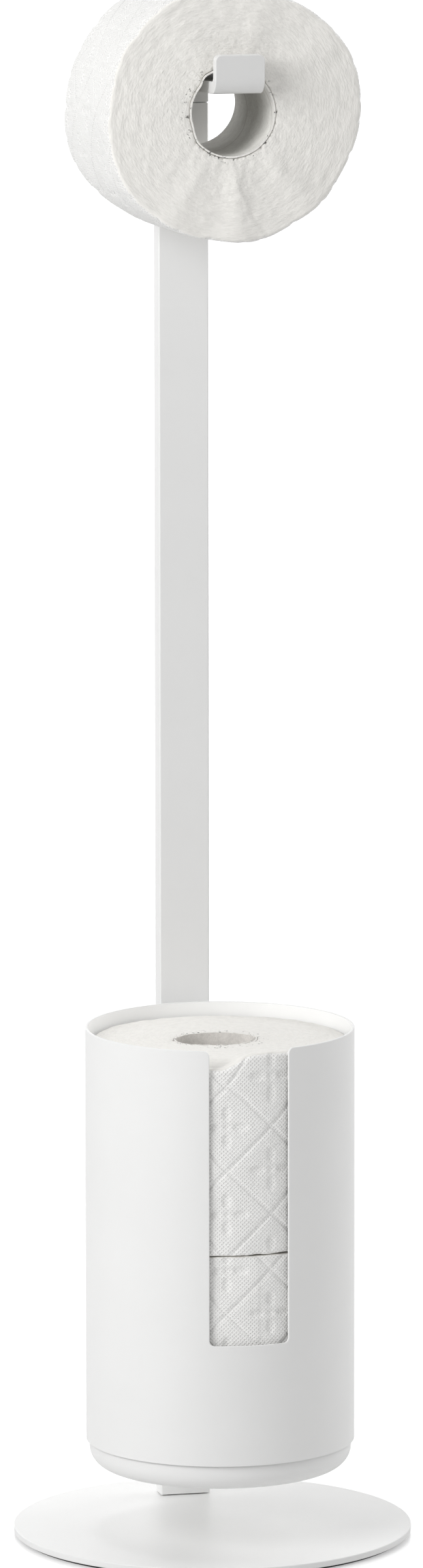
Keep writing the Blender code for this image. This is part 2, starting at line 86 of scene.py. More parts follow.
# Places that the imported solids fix
PLATE_LOW, PLATE_HIGH = node_box("base_plate")
POST_LOW, POST_HIGH = node_box("post")
HOOK_LOW, HOOK_HIGH = node_box("hook")
SHELL_LOW, SHELL_HIGH = node_box("container_shell")
DISH_LOW, DISH_HIGH = node_box("container_bottom")
PLATE_RADIUS = PLATE_HIGH.x
SHELL_RADIUS = SHELL_HIGH.x
SHELL_AXIS = Vector((0, (SHELL_LOW.y + SHELL_HIGH.y) / 2, 0))
POST_WIDTH = POST_HIGH.x - POST_LOW.x
POST_DEPTH = POST_HIGH.y - POST_LOW.y
POST_MIDDLE_Y = (POST_HIGH.y + POST_LOW.y) / 2


def metres(name, description, default):
    return bpy.props.FloatProperty(name=name, description=description, default=default,
                                   unit="LENGTH")


def degrees(name, description, default):
    return bpy.props.FloatProperty(name=name, description=description,
                                   default=math.radians(default), subtype="ANGLE")


def number(name, description, default):
    return bpy.props.FloatProperty(name=name, description=description, default=default)


def hue(name, description, default):
    return bpy.props.FloatVectorProperty(name=name, description=description, default=default,
                                         subtype="COLOR", min=0, max=1)


class HolderSizes(bpy.types.PropertyGroup):
    """Sizes of the finer shapes, in metres."""

    post_wall: metres("Post wall", "Thickness of the post's steel", 0.0015)
    post_corner: metres("Post corner", "Radius of the post's upright edges", 0.0008)
    post_growth: metres("Post growth", "What the coating adds to each side of the post", 0.00045)
    seam_edge: metres("Seam edge", "Rounding of the post's top at the seam", 0.0005)
    seat_gap: metres("Seat gap", "Clearance between two pieces that touch", 0.0003)
    plate_edge: metres("Plate edge", "Rounding of the base plate's rim", 0.0005)
    arm_thickness: metres("Arm thickness", "Thickness of the hook's arm and lip", 0.0058)
    arm_bend: metres("Arm bend", "Inner radius where the post bends into the arm", 0.0045)
    arm_slope: degrees("Arm slope", "How steeply the arm rises towards its lip", 3.2)
    roll_skew: degrees("Roll skew", "How far the hanging roll lies askew on the arm", 2.3)
    lip_bend: metres("Lip bend", "Inner radius where the arm bends up into the lip", 0.0030)
    lip_rise: metres("Lip rise", "Height of the lip above the arm", 0.0130)
    lip_corner: metres("Lip corner", "Radius of the lip's two upper corners", 0.0028)
    hook_edge: metres("Hook edge", "Rounding of the hook's long edges", 0.0004)
    spigot_length: metres("Spigot length", "How far the hook reaches down into the post", 0.0340)
    shell_wall: metres("Shell wall", "Thickness of the container's steel", 0.00125)
    shell_growth: metres("Shell growth", "What rolling and coating add to the radius", 0.0003)
    shell_lift: metres("Shell lift", "How far the shell stands above its packed place", 0.0012)
    shell_edge: metres("Shell edge", "Rounding that the coating gives the cut edges", 0.00035)
    slot_width: metres("Slot width", "Width of the container's front slot", 0.0386)
    slot_sill: metres("Slot sill", "Height of the slot's lower end above the shell's foot", 0.0583)
    slot_sill_corner: metres("Sill corner", "Radius of the slot's lower corners", 0.0025)
    slot_rim_corner: metres("Rim corner", "Radius where the slot's sides meet the rim", 0.0028)
    dish_edge: metres("Dish edge", "Radius of the container bottom's lower edge", 0.0095)
    dish_drop: metres("Dish drop", "How far the bottom reaches below its packed place", 0.0008)
    dish_wall: metres("Dish wall", "Thickness of the container's bottom", 0.0020)
    screw_head: metres("Screw head", "Radius of the screw heads", 0.0038)
    screw_shank: metres("Screw shank", "Radius of the screw shanks", 0.0020)
    hex_socket: metres("Hex socket", "Radius over the corners of the screw sockets", 0.0014)
    hex_depth: metres("Socket depth", "Depth of the screw sockets", 0.0012)
    core_wall: metres("Core wall", "Thickness of the board cores", 0.0008)
    face_dome: metres("Face dome", "How far the hanging roll's face stands out", 0.0026)
    core_seam: metres("Core seam", "Clearance between a core and its paper", 0.0001)
    emboss_depth: metres("Emboss depth", "Depth of the pressed lines in the paper", 0.00072)
    emboss_cell: metres("Emboss cell", "Height of one diamond of pressed lines", 0.0420)
    dot_pitch: metres("Dot pitch", "Distance between the small pressed dots", 0.00135)
    sheet_step: metres("Sheet step", "Step where the outermost sheet ends", 0.00030)


class HolderColours(bpy.types.PropertyGroup):
    """Colours of the finishes."""

    coat: hue("Powder coat", "Satin white of the steel parts", (0.865, 0.865, 0.858))
    moulded: hue("Moulded floor", "Matt white of the container's floor", (0.82, 0.82, 0.81))
    paper: hue("Paper", "Off-white of the tissue", (0.915, 0.910, 0.895))
    paper_cut: hue("Cut paper", "The rolls' sawn ends", (0.875, 0.859, 0.822))
    board: hue("Core board", "Pale grey-brown of the cores", (0.88, 0.853, 0.815))
    steel: hue("Screw steel", "Zinc-bright steel of the screws", (0.60, 0.60, 0.61))
    pad: hue("Pad", "Dark foam rubber under the base", (0.05, 0.05, 0.049))
    floor: hue("Studio floor", "Pale floor that the holder stands on", (0.74, 0.74, 0.74))


class StudioSettings(bpy.types.PropertyGroup):
    """Camera and light."""

    distance: metres("Distance", "From the holder's axis to the camera, along the floor", 5.0)
    height: metres("Height", "Camera height above the base plate's top", 1.19925)
    turn: degrees("Turn", "How far the camera stands round to the left", -12.916)
    pitch: degrees("Pitch", "How far the camera looks down", 9.519)
    roll: degrees("Roll", "Tilt of the camera about its line of sight", -0.073)
    lens: number("Lens", "Focal length on a 36 mm long side, in millimetres", 244.2)
    key_power: number("Key light", "Power of the large soft light, in watts", 38.5)
    key_size: metres("Key size", "Width of the large soft light", 1.7)
    side_power: number("Side light", "Power of the weak light on the right, in watts", 11.0)
    top_power: number("Top light", "Power of the small light above, in watts", 8.5)
    sky_front: number("Front sky", "Brightness of the studio in front of the holder", 0.57)
    sky_back: number("Back sky", "Brightness of the studio behind the holder", 1.42)
    sky_top: number("Top sky", "Brightness of the studio above", 0.4)
    floor_glow: number("Floor glow", "Light added where the floor itself is seen", 0.34)


def sizes():
    return bpy.context.scene.holder_sizes


def colours():
    return bpy.context.scene.holder_colours


def studio():
    return bpy.context.scene.holder_studio


# Materials

def set_inputs(node, inputs):
    """Give a node its inputs: each is either a fixed value or the output that feeds it."""
    for socket, value in inputs.items():
        if isinstance(value, bpy.types.NodeSocket):
            node.id_data.links.new(value, node.inputs[socket])
        else:
            node.inputs[socket].default_value = value


def add_node(tree, kind, inputs, **settings):
    node = tree.nodes.new(kind)
    for name, value in settings.items():
        setattr(node, name, value)
    set_inputs(node, inputs)
    return node


def maths(tree, operation, *values):
    return add_node(tree, "ShaderNodeMath", dict(enumerate(values)), operation=operation).outputs[0]


def vectors(tree, operation, *values):
    node = add_node(tree, "ShaderNodeVectorMath", dict(enumerate(values)), operation=operation)
    return node.outputs["Value" if operation in ("LENGTH", "DOT_PRODUCT") else "Vector"]


def scaled(tree, vector, factor):
    inputs = {0: vector, "Scale": factor}
    return add_node(tree, "ShaderNodeVectorMath", inputs, operation="SCALE").outputs["Vector"]


def ramp_between(tree, value, old, new=(0.0, 1.0)):
    """A value moved from its old range to a new one, eased at both ends."""
    inputs = {"Value": value, "From Min": old[0], "From Max": old[1],
              "To Min": new[0], "To Max": new[1]}
    return add_node(tree, "ShaderNodeMapRange", inputs, interpolation_type="SMOOTHSTEP").outputs[0]


def blend(tree, first, second, share):
    """Two patterns added, the first by its share and the second by the rest."""
    rest = maths(tree, "MULTIPLY", second, 1 - share)
    return maths(tree, "ADD", maths(tree, "MULTIPLY", first, share), rest)


def shade(colour, factor):
    return tuple(min(1.0, channel * factor) for channel in colour)


def tint(tree, factor, colour, low, high):
    """A colour that wanders between two shades of itself, given as shares of it."""
    inputs = {0: factor, 6: (*shade(colour, low), 1), 7: (*shade(colour, high), 1)}
    return add_node(tree, "ShaderNodeMix", inputs, data_type="RGBA").outputs[2]


def grain(tree, where, scale, detail=2.0, roughness=0.5, distortion=0.0):
    inputs = {"Vector": where, "Scale": scale, "Detail": detail, "Roughness": roughness,
              "Distortion": distortion}
    return add_node(tree, "ShaderNodeTexNoise", inputs).outputs["Fac"]


def relief(tree, height, depth, strength=1.0, under=None):
    """A bump of a real depth in metres, laid over another one if it's given."""
    inputs = {"Height": height, "Distance": depth, "Strength": strength}
    if under is not None:
        inputs["Normal"] = under
    return add_node(tree, "ShaderNodeBump", inputs).outputs["Normal"]


def new_finish(name, inputs):
    """A material, its node tree, its shader with some fixed inputs, and the object coordinates."""
    material = bpy.data.materials.new(name)
    material.use_nodes = True
    tree = material.node_tree
    shader = tree.nodes["Principled BSDF"]
    set_inputs(shader, inputs)
    where = tree.nodes.new("ShaderNodeTexCoord").outputs["Object"]
    return material, tree, shader, where


def powder_coat(name, colour):
    """Satin coat: a fine orange peel, faint clouding and a slightly uneven gloss."""
    material, tree, shader, where = new_finish(name, {"Roughness": 0.42})
    depth = 0.00003
    clouds = grain(tree, where, scale=26, detail=3)
    peel = grain(tree, where, scale=620, roughness=0.55)
    fine = grain(tree, where, scale=1700, roughness=0.6)
    soft = relief(tree, peel, depth, strength=0.6)
    set_inputs(shader, {
        "Base Color": tint(tree, clouds, colour, 0.975, 1.02),
        "Roughness": ramp_between(tree, peel, (0.25, 0.75), (0.36, 0.48)),
        "Normal": relief(tree, fine, depth / 3, strength=0.6, under=soft),
    })
    return material


def moulded_plastic(name, colour):
    """Matt moulded white with a spark-eroded grain."""
    material, tree, shader, where = new_finish(name, {"Roughness": 0.55})
    pores = grain(tree, where, scale=900, detail=3, roughness=0.6)
    set_inputs(shader, {
        "Base Color": tint(tree, pores, colour, 0.96, 1.0),
        "Roughness": ramp_between(tree, pores, (0.3, 0.7), (0.5, 0.62)),
        "Normal": relief(tree, pores, depth=0.00005, strength=0.7),
    })
    return material


def foam_rubber(name, colour):
    """Closed-cell foam, dark and matt, with small open pores."""
    material, tree, shader, where = new_finish(name, {"Roughness": 0.9})
    cells = add_node(tree, "ShaderNodeTexVoronoi", {"Vector": where, "Scale": 1300})
    dust = grain(tree, where, scale=90, detail=3)
    set_inputs(shader, {
        "Base Color": tint(tree, dust, colour, 0.8, 1.5),
        "Normal": relief(tree, cells.outputs["Distance"], depth=0.0002, strength=0.8),
    })
    return material


def bright_steel(name, colour):
    """Zinc-plated steel with turning marks and faint stains."""
    material, tree, shader, where = new_finish(name, {"Roughness": 0.32, "Metallic": 1.0})
    marks = grain(tree, vectors(tree, "MULTIPLY", where, (400, 6000, 400)), scale=1.0)
    stains = grain(tree, where, scale=260, detail=3)
    set_inputs(shader, {
        "Base Color": tint(tree, stains, colour, 0.82, 1.08),
        "Roughness": ramp_between(tree, marks, (0.3, 0.7), (0.26, 0.42)),
        "Normal": relief(tree, marks, depth=0.00002, strength=0.5),
    })
    return material


def round_axis(tree, where, place):
    """Distance from a roll's axis, the direction away from it and the height along it."""
    along = place.col[2].xyz
    offset = vectors(tree, "SUBTRACT", where, place.translation)
    height = vectors(tree, "DOT_PRODUCT", offset, along)
    across = vectors(tree, "SUBTRACT", offset, scaled(tree, along, height))
    return vectors(tree, "LENGTH", across), vectors(tree, "NORMALIZE", across), height


def wound_paper_side(name, colour):
    """The outside of a roll: a diagonal field of pressed dots and loose fibres.

    The roll's own UV map gives metres round the roll and metres along it.
    """
    material, tree, shader, where = new_finish(name, {
        "Roughness": 0.95, "Sheen Weight": 0.25, "Sheen Roughness": 0.6, "Specular IOR Level": 0.2})
    spread = add_node(tree, "ShaderNodeUVMap", {}, uv_map="wound").outputs["UV"]
    per_metre = 1 / sizes().dot_pitch
    turned = add_node(tree, "ShaderNodeMapping", {
        "Vector": spread, "Rotation": (0, 0, math.radians(45)), "Scale": (per_metre, per_metre, 1)})
    inputs = {"Vector": turned.outputs[0], "Scale": 1.0, "Randomness": 0.12}
    cells = add_node(tree, "ShaderNodeTexVoronoi", inputs, voronoi_dimensions="2D")
    dots = ramp_between(tree, cells.outputs["Distance"], (0.12, 0.42))
    fibres = grain(tree, where, scale=1500, detail=3, roughness=0.7)
    crumple = grain(tree, where, scale=85, detail=3, roughness=0.55, distortion=0.6)
    clouds = grain(tree, where, scale=30)
    # the pressed dots are painted darker as shade in their hollows; the clouds are the paper's own
    # uneven tone
    tone = blend(tree, dots, clouds, 0.45)
    soft = relief(tree, crumple, depth=0.0006, strength=0.35)
    pressed = relief(tree, dots, depth=0.00028, under=soft)
    set_inputs(shader, {
        "Base Color": tint(tree, tone, colour, 0.93, 1.03),
        "Normal": relief(tree, fibres, depth=0.00005, strength=0.5, under=pressed),
    })
    return material


def wound_paper_end(name, colour, place, bore):
    """A roll's end: broken streaks round the core, tinted as painted shade of their relief, and
    frayed specks near its mouth, darkened as painted shade in the torn layers.
    """
    material, tree, shader, where = new_finish(name, {
        "Roughness": 0.95, "Sheen Weight": 0.2, "Sheen Roughness": 0.6, "Specular IOR Level": 0.2})
    radius, outward, _ = round_axis(tree, where, place)
    wander = maths(tree, "MULTIPLY_ADD", grain(tree, where, scale=60), 0.0012, radius)

    def streaks(round_count, ring_count):
        """Noise drawn out round the core: few changes on a turn, many across the layers."""
        rings = scaled(tree, place.col[2].xyz, maths(tree, "MULTIPLY", wander, ring_count))
        drawn_out = vectors(tree, "ADD", scaled(tree, outward, round_count), rings)
        return grain(tree, drawn_out, scale=1.0, roughness=0.6)

    bands = streaks(round_count=9.0, ring_count=420)
    layers = streaks(round_count=16.0, ring_count=1050)
    fibres = grain(tree, where, scale=1800, detail=3, roughness=0.7)
    # the streaks' tint, lighter and darker, is painted shade of the layers' relief, laid over their
    # real bump
    tone = ramp_between(tree, blend(tree, bands, layers, 0.4), (0.34, 0.66))
    near_mouth = ramp_between(tree, radius, (bore + 0.0008, bore + 0.0034), (1.0, 0.0))
    # the dark specks near the mouth are painted shade in the torn inner layers
    torn = ramp_between(tree, grain(tree, where, scale=620), (0.62, 0.69))
    shade_speck = maths(tree, "MULTIPLY", maths(tree, "MULTIPLY", torn, near_mouth), 0.75)
    painted_shade_near_mouth = maths(tree, "MULTIPLY_ADD", shade_speck, -1.0, 1.0)
    broad = relief(tree, bands, depth=0.0008, strength=0.4)
    thin = relief(tree, layers, depth=0.0006, strength=0.6, under=broad)
    set_inputs(shader, {
        "Base Color": scaled(tree, tint(tree, tone, colour, 0.95, 1.03), painted_shade_near_mouth),
        "Normal": relief(tree, fibres, depth=0.00006, strength=0.5, under=thin),
    })
    return material


def core_board(name, colour, place):
    """Grey board wound from a strip: its spiral seam, fibres and flecks."""
    material, tree, shader, where = new_finish(name, {"Roughness": 0.88, "Specular IOR Level": 0.3})
    _, outward, height = round_axis(tree, where, place)
    first = vectors(tree, "DOT_PRODUCT", outward, place.col[0].xyz)
    second = vectors(tree, "DOT_PRODUCT", outward, place.col[1].xyz)
    angle = maths(tree, "DIVIDE", maths(tree, "ARCTAN2", second, first), FULL_TURN)
    strip_width, seam_width = 0.062, 0.012
    winding = maths(tree, "FRACT", maths(tree, "MULTIPLY_ADD", height, 1 / strip_width, angle))
    seam = maths(tree, "COMPARE", winding, 0.5, seam_width)
    flecks = grain(tree, where, scale=700, detail=4, roughness=0.7)
    clouds = grain(tree, where, scale=110, detail=3)
    tone = blend(tree, flecks, clouds, 0.6)
    tone = maths(tree, "SUBTRACT", tone, maths(tree, "MULTIPLY", seam, 0.35))
    step = relief(tree, winding, depth=0.0002, strength=0.4)
    set_inputs(shader, {
        "Base Color": tint(tree, ramp_between(tree, tone, (0.2, 0.75)), colour, 0.78, 1.12),
        "Normal": relief(tree, flecks, depth=0.00008, strength=0.7, under=step),
    })
    return material


def studio_floor(name, colour, glow):
    """A pale polished floor: almost plain, with a faint clouding in its gloss."""
    material, tree, shader, where = new_finish(name, {"Emission Color": (1, 1, 1, 1)})
    seen = tree.nodes.new("ShaderNodeLightPath").outputs["Is Camera Ray"]
    clouds = grain(tree, where, scale=3)
    set_inputs(shader, {
        "Base Color": tint(tree, clouds, colour, 0.995, 1.005),
        "Roughness": ramp_between(tree, clouds, (0.3, 0.7), (0.06, 0.09)),
        "Emission Strength": maths(tree, "MULTIPLY", seen, glow),
    })
    return material


def finish_named(name):
    """A finish by name, made when it's first asked for."""
    if name in bpy.data.materials:
        return bpy.data.materials[name]
    shades = colours()
    # The last number in each row makes a finish lighter or darker than its colour; where it isn't 1
    # it is painted light or shade
    finishes = {
        "coat_on_plate": (powder_coat, shades.coat, 1.0),
        # the post's coat is painted 2 % darker as shade
        "coat_on_post": (powder_coat, shades.coat, 0.98),
        # the hook's coat is painted 11 % darker as shade, to darken the lip's front
        "coat_on_hook": (powder_coat, shades.coat, 0.89),
        "coat_on_container": (powder_coat, shades.coat, 1.0),
        # the inside of the container is painted 12 % lighter, as light that the hollow doesn't get
        "coat_in_container": (powder_coat, shades.coat, 1.12),
        "moulded_floor": (moulded_plastic, shades.moulded, 1.0),
        "foam_pad": (foam_rubber, shades.pad, 1.0),
        "screw_steel": (bright_steel, shades.steel, 1.0),
        # the hanging roll's side paper is painted 2.5 % darker as shade
        "paper_on_hook": (wound_paper_side, shades.paper, 0.975),
        # the spare rolls' side paper is painted 5 % lighter as light, for the paper seen in the
        # slot
        "paper_in_container": (wound_paper_side, shades.paper, 1.05),
    }
    # tone is that share: away from 1 it is painted light or shade
    make, colour, tone = finishes[name]
    return make(name, shade(colour, tone))


# Shapes

def arc(centre, radius, start, end, points, rise=None):
    """Points on an arc, both ends included. rise is its radius upwards, if it isn't round."""
    rise = radius if rise is None else rise
    turn = [start + (end - start) * step / points for step in range(points + 1)]
    return [(centre[0] + radius * math.cos(a), centre[1] + rise * math.sin(a)) for a in turn]


def turn_profile(profile, steps, ring=False):
    """A profile of (radius, height) points spun about the upright axis into a closed shape."""
    shape = bmesh.new()
    points = [shape.verts.new((radius, 0, height)) for radius, height in profile]
    lines = [shape.edges.new(pair) for pair in zip(points, points[1:])]
    if ring:
        lines.append(shape.edges.new((points[-1], points[0])))
    bmesh.ops.spin(shape, geom=points + lines, cent=(0, 0, 0), axis=(0, 0, 1), dvec=(0, 0, 0),
                   angle=FULL_TURN, steps=steps, use_merge=True)
    bmesh.ops.remove_doubles(shape, verts=shape.verts, dist=WELD)
    bmesh.ops.recalc_face_normals(shape, faces=shape.faces)
    return shape


def outline_face(shape, points):
    """A flat face from (x, z) points in the plane y = 0."""
    return shape.faces.new([shape.verts.new((across, 0, up)) for across, up in points])


def block(size):
    """A box about the origin."""
    shape = bmesh.new()
    bmesh.ops.create_cube(shape, size=1)
    bmesh.ops.scale(shape, verts=shape.verts, vec=size)
    return shape


def pulled(shape, faces, move):
    """Faces drawn out by a move, with walls behind them."""
    grown = bmesh.ops.extrude_face_region(shape, geom=faces)
    far = [v for v in grown["geom"] if isinstance(v, bmesh.types.BMVert)]
    bmesh.ops.translate(shape, verts=far, vec=move)


def rounded(shape, edges, radius, segments):
    bmesh.ops.bevel(shape, geom=edges, offset=radius, segments=segments, profile=0.5,
                    affect="EDGES", material=-1)


def mesh_of(name, shape):
    """A mesh made from a shape, which is freed."""
    mesh = bpy.data.meshes.new(name)
    shape.to_mesh(mesh)
    shape.free()
    return mesh


def new_object(name, data):
    item = bpy.data.objects.new(name, data)
    bpy.context.scene.collection.objects.link(item)
    return item


def piece(name, shape, body, materials, node, crease=35, weighted=True):
    """The finished shape as an object at the origin that rides on a body in a node's place."""
    mesh = mesh_of(name, shape)
    for material in materials:
        mesh.materials.append(material)
    mesh.shade_smooth()
    mesh.set_sharp_from_angle(angle=math.radians(crease))
    item = new_object(name, mesh)
    if weighted:
        item.modifiers.new("face_weighted_shading", "WEIGHTED_NORMAL").keep_sharp = True
    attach(item, body)
    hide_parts(node)


def coated(node, shape, *finishes):
    """One of the stand's coated pieces."""
    materials = [finish_named(name) for name in finishes]
    piece(node + "_coated", shape, "stand", materials, node)


def plated(node, shape, place, tilt):
    """One of the stand's screws, tilted about X and moved to its place."""
    matrix = Matrix.Translation(place) @ Matrix.Rotation(tilt, 4, "X")
    bmesh.ops.transform(shape, matrix=matrix, verts=shape.verts)
    piece(node + "_plated", shape, "stand", [finish_named("screw_steel")], node)


def carved(shape, cutter):
    """The shape less the cutter, as a new bmesh."""
    stock = new_object("stock", mesh_of("stock", shape))
    tool = new_object("tool", mesh_of("tool", cutter))
    modifier = stock.modifiers.new("carving", "BOOLEAN")
    modifier.operation = "DIFFERENCE"
    modifier.solver = "EXACT"
    modifier.object = tool
    bpy.context.view_layer.update()
    graph = bpy.context.evaluated_depsgraph_get()
    result = bpy.data.meshes.new_from_object(stock.evaluated_get(graph))
    left_over = bmesh.new()
    left_over.from_mesh(result)
    for item in (stock, tool):
        mesh = item.data
        bpy.data.objects.remove(item, do_unlink=True)
        bpy.data.meshes.remove(mesh)
    bpy.data.meshes.remove(result)
    bmesh.ops.remove_doubles(left_over, verts=left_over.verts, dist=WELD)
    if not left_over.faces:
        raise RuntimeError("nothing is left after carving")
    return left_over


def add_rod(shape, radius, start, end, sides=48):
    """A round bar from start to end, added to a shape."""
    start, end = Vector(start), Vector(end)
    turn = (end - start).to_track_quat("Z", "Y").to_matrix().to_4x4()
    place = Matrix.Translation((start + end) / 2) @ turn
    bmesh.ops.create_cone(shape, cap_ends=True, segments=sides, radius1=radius, radius2=radius,
                          depth=(end - start).length, matrix=place)


def make_plate():
    size = sizes()
    edge = size.plate_edge
    rim = PLATE_RADIUS - edge
    profile = [(0, PLATE_HIGH.z), (PLATE_RADIUS / 2, PLATE_HIGH.z)]
    profile += arc((rim, PLATE_HIGH.z - edge), edge, QUARTER_TURN, 0, 6)
    profile += arc((rim, PLATE_LOW.z + edge), edge, 0, -QUARTER_TURN, 6)
    profile += [(PLATE_RADIUS / 2, PLATE_LOW.z), (0, PLATE_LOW.z)]
    head, shank = size.screw_head + size.seat_gap, size.screw_shank + size.seat_gap
    seats = bmesh.new()
    for node in FOOT_SCREWS:
        low, high = node_box(node)
        foot, top = low.z, PLATE_HIGH.z + OVER
        seat = turn_profile([(0, foot - OVER), (head, foot - OVER), (head, foot),
                             (shank, foot + COUNTERSINK), (shank, top), (0, top)], SCREW_STEPS)
        centre = ((low.x + high.x) / 2, (low.y + high.y) / 2, 0)
        bmesh.ops.translate(seat, verts=seat.verts, vec=centre)
        mesh = mesh_of("seat", seat)
        seats.from_mesh(mesh)
        bpy.data.meshes.remove(mesh)
    coated("base_plate", carved(turn_profile(profile, WIDE_STEPS), seats), "coat_on_plate")


def make_post():
    size = sizes()
    length = POST_HIGH.z - POST_LOW.z - size.seat_gap
    outer = block((POST_WIDTH + 2 * size.post_growth, POST_DEPTH, length))
    uprights = [e for e in outer.edges if (e.verts[0].co - e.verts[1].co).xy.length < WELD]
    rounded(outer, uprights, size.post_corner, 6)
    rim = [e for e in outer.edges if all(v.co.z > length / 2 - WELD for v in e.verts)]
    rounded(outer, rim, size.seam_edge, 4)
    walls = 2 * size.post_wall
    past_ends = 0.01
    hollow = block((POST_WIDTH - walls, POST_DEPTH - walls, length + past_ends))
    for part in (outer, hollow):
        middle = (0, POST_MIDDLE_Y, POST_HIGH.z - length / 2)
        bmesh.ops.translate(part, verts=part.verts, vec=middle)
    holes = bmesh.new()
    radius = size.screw_shank + size.seat_gap
    reach = size.post_wall + OVER
    back, front = POST_HIGH.y, POST_LOW.y
    for node in BACK_SCREWS:
        low, high = node_box(node)
        height = (low.z + high.z) / 2
        add_rod(holes, radius, (0, back - reach, height), (0, back + OVER, height))
        if node != "hook_screw":
            add_rod(holes, radius, (0, front - OVER, height), (0, front + reach, height))
    # the post wears the coat painted darker as shade
    coated("post", carved(carved(outer, hollow), holes), "coat_on_post")


def hook_outline():
    """The hook from the side, from the seam at the front, round the lip, to the seam's back."""
    size = sizes()
    slope = size.arm_slope
    seam = POST_HIGH.z + size.seat_gap
    lip_outer = size.lip_bend + size.arm_thickness
    lip_front = HOOK_LOW.y
    arm_top = HOOK_HIGH.z - size.lip_rise
    lip_centre = (lip_front + lip_outer, arm_top + size.lip_bend / math.cos(slope))
    lip_start = 3 * QUARTER_TURN - slope
    bend_y = POST_LOW.y - size.arm_bend
    drop = (bend_y - lip_centre[0]) * math.tan(slope)
    reach_y = POST_HIGH.y - bend_y
    reach_z = (size.arm_thickness + size.arm_bend) / math.cos(slope)
    bend = (bend_y, arm_top - drop - reach_z)
    outer_rise = math.sqrt(reach_z ** 2 - (reach_y * math.tan(slope)) ** 2)
    outer_end = math.atan2(outer_rise, reach_y * math.tan(slope))
    points = [(POST_LOW.y, seam)]
    points += arc(bend, size.arm_bend, 0, QUARTER_TURN - slope, 24)
    points += arc(lip_centre, lip_outer, lip_start, HALF_TURN, 20)
    points += [(lip_front, HOOK_HIGH.z), (lip_front + size.arm_thickness, HOOK_HIGH.z)]
    points += arc(lip_centre, size.lip_bend, HALF_TURN, lip_start, 14)
    points += arc(bend, reach_y, outer_end, 0, 32, rise=outer_rise)
    points += [(POST_HIGH.y, seam)]
    return points


def make_hook():
    """Cut from its side view, with soft edges, a spigot inside the post and a screw hole."""
    size = sizes()
    shape = bmesh.new()
    pulled(shape, [outline_face(shape, hook_outline())], (0, POST_WIDTH, 0))
    bmesh.ops.translate(shape, verts=shape.verts, vec=(0, -POST_WIDTH / 2, 0))
    bmesh.ops.rotate(shape, verts=shape.verts, cent=(0, 0, 0),
                     matrix=Matrix.Rotation(QUARTER_TURN, 3, "Z"))
    bmesh.ops.recalc_face_normals(shape, faces=shape.faces)
    corners = [e for e in shape.edges
               if all(abs(v.co.z - HOOK_HIGH.z) < WELD for v in e.verts)
               and abs(e.verts[0].co.y - e.verts[1].co.y) > size.arm_thickness / 2]
    rounded(shape, corners, size.lip_corner, 8)
    sharp = [e for e in shape.edges if e.calc_face_angle(0) > math.radians(50)]
    rounded(shape, sharp, size.hook_edge, 4)
    seam = POST_HIGH.z + size.seat_gap
    foot = [f for f in shape.faces
            if abs(f.calc_center_median().z - seam) < WELD and f.normal.z < -0.9]
    inset = size.post_wall + size.seat_gap - size.hook_edge
    bmesh.ops.inset_region(shape, faces=foot, thickness=inset, use_even_offset=True)
    pulled(shape, foot, (0, 0, -size.spigot_length - size.seat_gap))
    loose = [f for f in foot if f.is_valid]
    if loose:
        bmesh.ops.delete(shape, geom=loose, context="FACES_KEEP_BOUNDARY")
    bmesh.ops.recalc_face_normals(shape, faces=shape.faces)
    hole = bmesh.new()
    low, high = node_box("hook_screw")
    height = (low.z + high.z) / 2
    past_tip = 0.0008
    add_rod(hole, size.screw_shank + size.seat_gap, (0, low.y - past_tip, height),
            (0, POST_HIGH.y + OVER, height))
    shape = carved(shape, hole)
    arm_end = HOOK_LOW.y + 0.01
    for vert in shape.verts:
        if vert.co.z > seam - WELD:
            share = smoothstep(vert.co.y, arm_end, POST_LOW.y)
            vert.co.x *= 1 + share * 2 * size.post_growth / POST_WIDTH
    # the hook wears the coat painted darker as shade
    coated("hook", shape, "coat_on_hook")


def sheet_outline():
    """The container's flat sheet before rolling: its edge with the slot, as (along, up)."""
    size = sizes()
    radius = SHELL_RADIUS + size.shell_growth
    half_sheet = math.pi * radius
    side = radius * math.asin(size.slot_width / 2 / radius)
    foot, rim = SHELL_LOW.z + size.shell_lift, SHELL_HIGH.z + size.shell_lift
    sill = foot + size.slot_sill
    low, flare = size.slot_sill_corner, size.slot_rim_corner
    right = arc((side - low, sill + low), low, -QUARTER_TURN, 0, 8)
    right += arc((side + flare, rim - flare), flare, HALF_TURN, QUARTER_TURN, 8)
    left = [(-along, up) for along, up in reversed(right)]
    return [(half_sheet, rim), *reversed(right), *reversed(left), (-half_sheet, rim),
            (-half_sheet, foot), (half_sheet, foot)]


